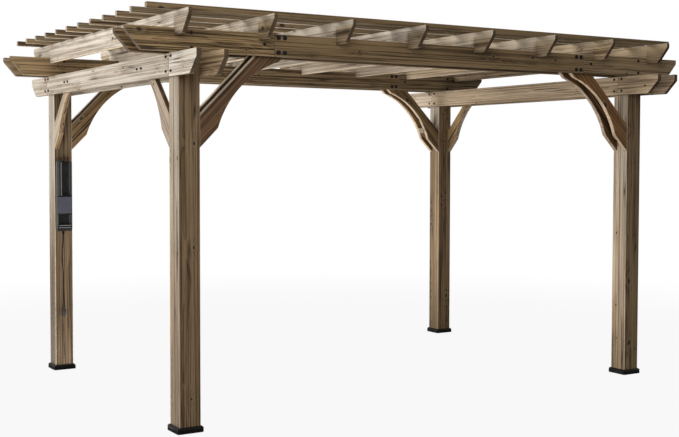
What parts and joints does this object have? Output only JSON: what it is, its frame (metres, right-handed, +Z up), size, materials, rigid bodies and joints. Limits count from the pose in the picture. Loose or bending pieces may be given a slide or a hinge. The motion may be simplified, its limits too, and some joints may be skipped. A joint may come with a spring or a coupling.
{
  "type": "wooden pergola",
  "caption": "Free-standing timber pergola with paired beams and headers, scooped corner braces, notched rafters, slats and a power box on one post.",
  "frame": {"origin": "on the ground, in the middle of the four posts", "axes": "+X along the long side to the right, +Y from the front to the back, +Z up"},
  "size_m": [4.267, 3.048, 2.424],
  "materials": {
    "post_wood": "weathered brown stain",
    "beam_wood": "weathered brown stain",
    "header_wood": "weathered brown stain",
    "brace_wood": "weathered brown stain",
    "rafter_wood": "weathered brown stain",
    "slat_wood": "weathered brown stain",
    "base_cover": "black moulded",
    "box_housing": "dark grey moulded",
    "box_panel": "grey moulded",
    "cord": "black jacket",
    "plug": "black moulded"
  },
  "bodies": {
    "root": {"post_front_left": "post_wood", "post_front_right": "post_wood", "post_back_left": "post_wood", "post_back_right": "post_wood", "base_cover_front_left": "base_cover", "base_cover_front_right": "base_cover", "base_cover_back_left": "base_cover", "base_cover_back_right": "base_cover", "left_beam_outer": "beam_wood", "left_beam_inner": "beam_wood", "right_beam_inner": "beam_wood", "right_beam_outer": "beam_wood", "front_header_outer": "header_wood", "front_header_inner": "header_wood", "back_header_inner": "header_wood", "back_header_outer": "header_wood", "long_brace_front_left": "brace_wood", "long_brace_front_right": "brace_wood", "long_brace_back_left": "brace_wood", "long_brace_back_right": "brace_wood", "brace_spacers": "brace_wood", "end_brace_front_left": "brace_wood", "end_brace_front_right": "brace_wood", "end_brace_back_left": "brace_wood", "end_brace_back_right": "brace_wood", "rafter_1": "rafter_wood", "rafter_2": "rafter_wood", "rafter_3": "rafter_wood", "rafter_4": "rafter_wood", "rafter_5": "rafter_wood", "rafter_6": "rafter_wood", "rafter_7": "rafter_wood", "rafter_8": "rafter_wood", "slat_1": "slat_wood", "slat_2": "slat_wood", "slat_3": "slat_wood", "slat_4": "slat_wood", "slat_5": "slat_wood", "slat_6": "slat_wood", "slat_7": "slat_wood", "slat_8": "slat_wood", "slat_9": "slat_wood", "slat_10": "slat_wood", "slat_11": "slat_wood", "slat_12": "slat_wood", "power_box": "box_housing", "power_box_panel": "box_panel", "power_box_divider": "box_panel", "cord_sleeve": "cord", "power_cord": "cord", "power_plug": "plug"}
  },
  "joints": []
}
